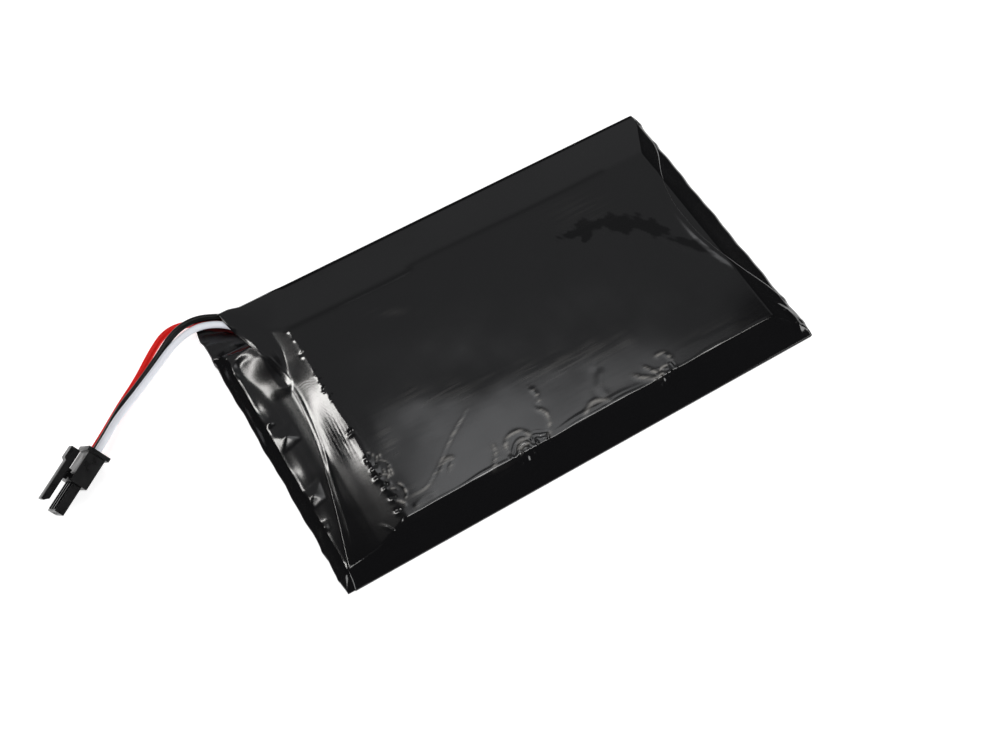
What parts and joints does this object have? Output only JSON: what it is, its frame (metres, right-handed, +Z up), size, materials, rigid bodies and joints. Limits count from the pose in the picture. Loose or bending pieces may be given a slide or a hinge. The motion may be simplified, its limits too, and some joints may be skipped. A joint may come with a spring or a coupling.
{
  "type": "pouch battery cell pack",
  "caption": "Flat black shrink-wrapped lithium pouch battery with a protection board inside and a short red, black and white lead to a latching plug.",
  "frame": {"origin": "centre of the pack's underside, on the surface it lies on", "axes": "+X along the pack away from the lead, +Y across it, +Z up through its thickness"},
  "size_m": [0.1663, 0.0775, 0.0098],
  "materials": {
    "shrink_film": "glossy black shrink film with fine wrinkles",
    "end_film": "glossy black folded film",
    "plate_laminate": "black glass-fibre laminate",
    "adhesive_tape": "double-sided tape",
    "pouch_laminate": "aluminium laminate film, satin",
    "graphite_coating": "graphite on copper foil",
    "separator_film": "white porous film",
    "oxide_coating": "oxide on aluminium foil",
    "green_tape": "thin tape",
    "board_laminate": "green solder mask",
    "amber_film": "polyimide tape",
    "foam": "foam tape",
    "insulating_paper": "insulating paper",
    "chip_moulding": "moulded package",
    "chip_resistor": "chip resistor",
    "chip_capacitor": "ceramic chip",
    "chip_thermistor": "ceramic chip",
    "tinned_copper": "tinned strands",
    "solder": "bright solder",
    "housing_plastic": "moulded black plastic",
    "latch_plastic": "moulded black plastic",
    "aluminium_tab": "foil",
    "nickel": "rolled nickel",
    "sealant_film": "milky sealing film",
    "lead_red": "insulation",
    "lead_black": "insulation",
    "lead_white": "insulation",
    "contact_metal": "tin-plated bronze"
  },
  "bodies": {
    "pack": {"outer_sleeve": "shrink_film", "left_end_tape": "end_film", "right_end_tape": "end_film", "base_plate": "plate_laminate", "cell_adhesive": "adhesive_tape", "pouch_cup": "pouch_laminate", "pouch_lid": "pouch_laminate", "anode_sheets": "graphite_coating", "separator_sheets": "separator_film", "cathode_sheets": "oxide_coating", "stack_tapes": "green_tape", "circuit_board": "board_laminate", "board_insulation_tape": "amber_film", "board_foam_pad": "foam", "terrace_insulator": "insulating_paper", "protection_ic": "chip_moulding", "switch_transistors": "chip_moulding", "resistors": "chip_resistor", "capacitors": "chip_capacitor", "thermistor": "chip_thermistor", "board_end_strands": "tinned_copper", "solder_joints": "solder", "connector_housing": "housing_plastic", "crimp_end_strands": "tinned_copper", "positive_tab": "aluminium_tab", "negative_tab": "nickel", "positive_tab_sealant": "sealant_film", "negative_tab_sealant": "sealant_film", "positive_nickel_strip": "nickel", "negative_nickel_strip": "nickel", "lead_red": "lead_red", "lead_black": "lead_black", "lead_white": "lead_white", "contact_red": "contact_metal", "contact_black": "contact_metal", "contact_white": "contact_metal"},
    "latch": {"latch_lever": "latch_plastic"}
  },
  "joints": [
    {"name": "latch_press", "type": "hinge", "parent": "pack", "child": "latch", "pos_m": [-0.0989, 0.01545, 0.00573], "axis": [-0.2564, 0.5658, -0.7837], "range_deg": [0, 8], "stiffness_Nm_per_rad": 0.15}
  ]
}
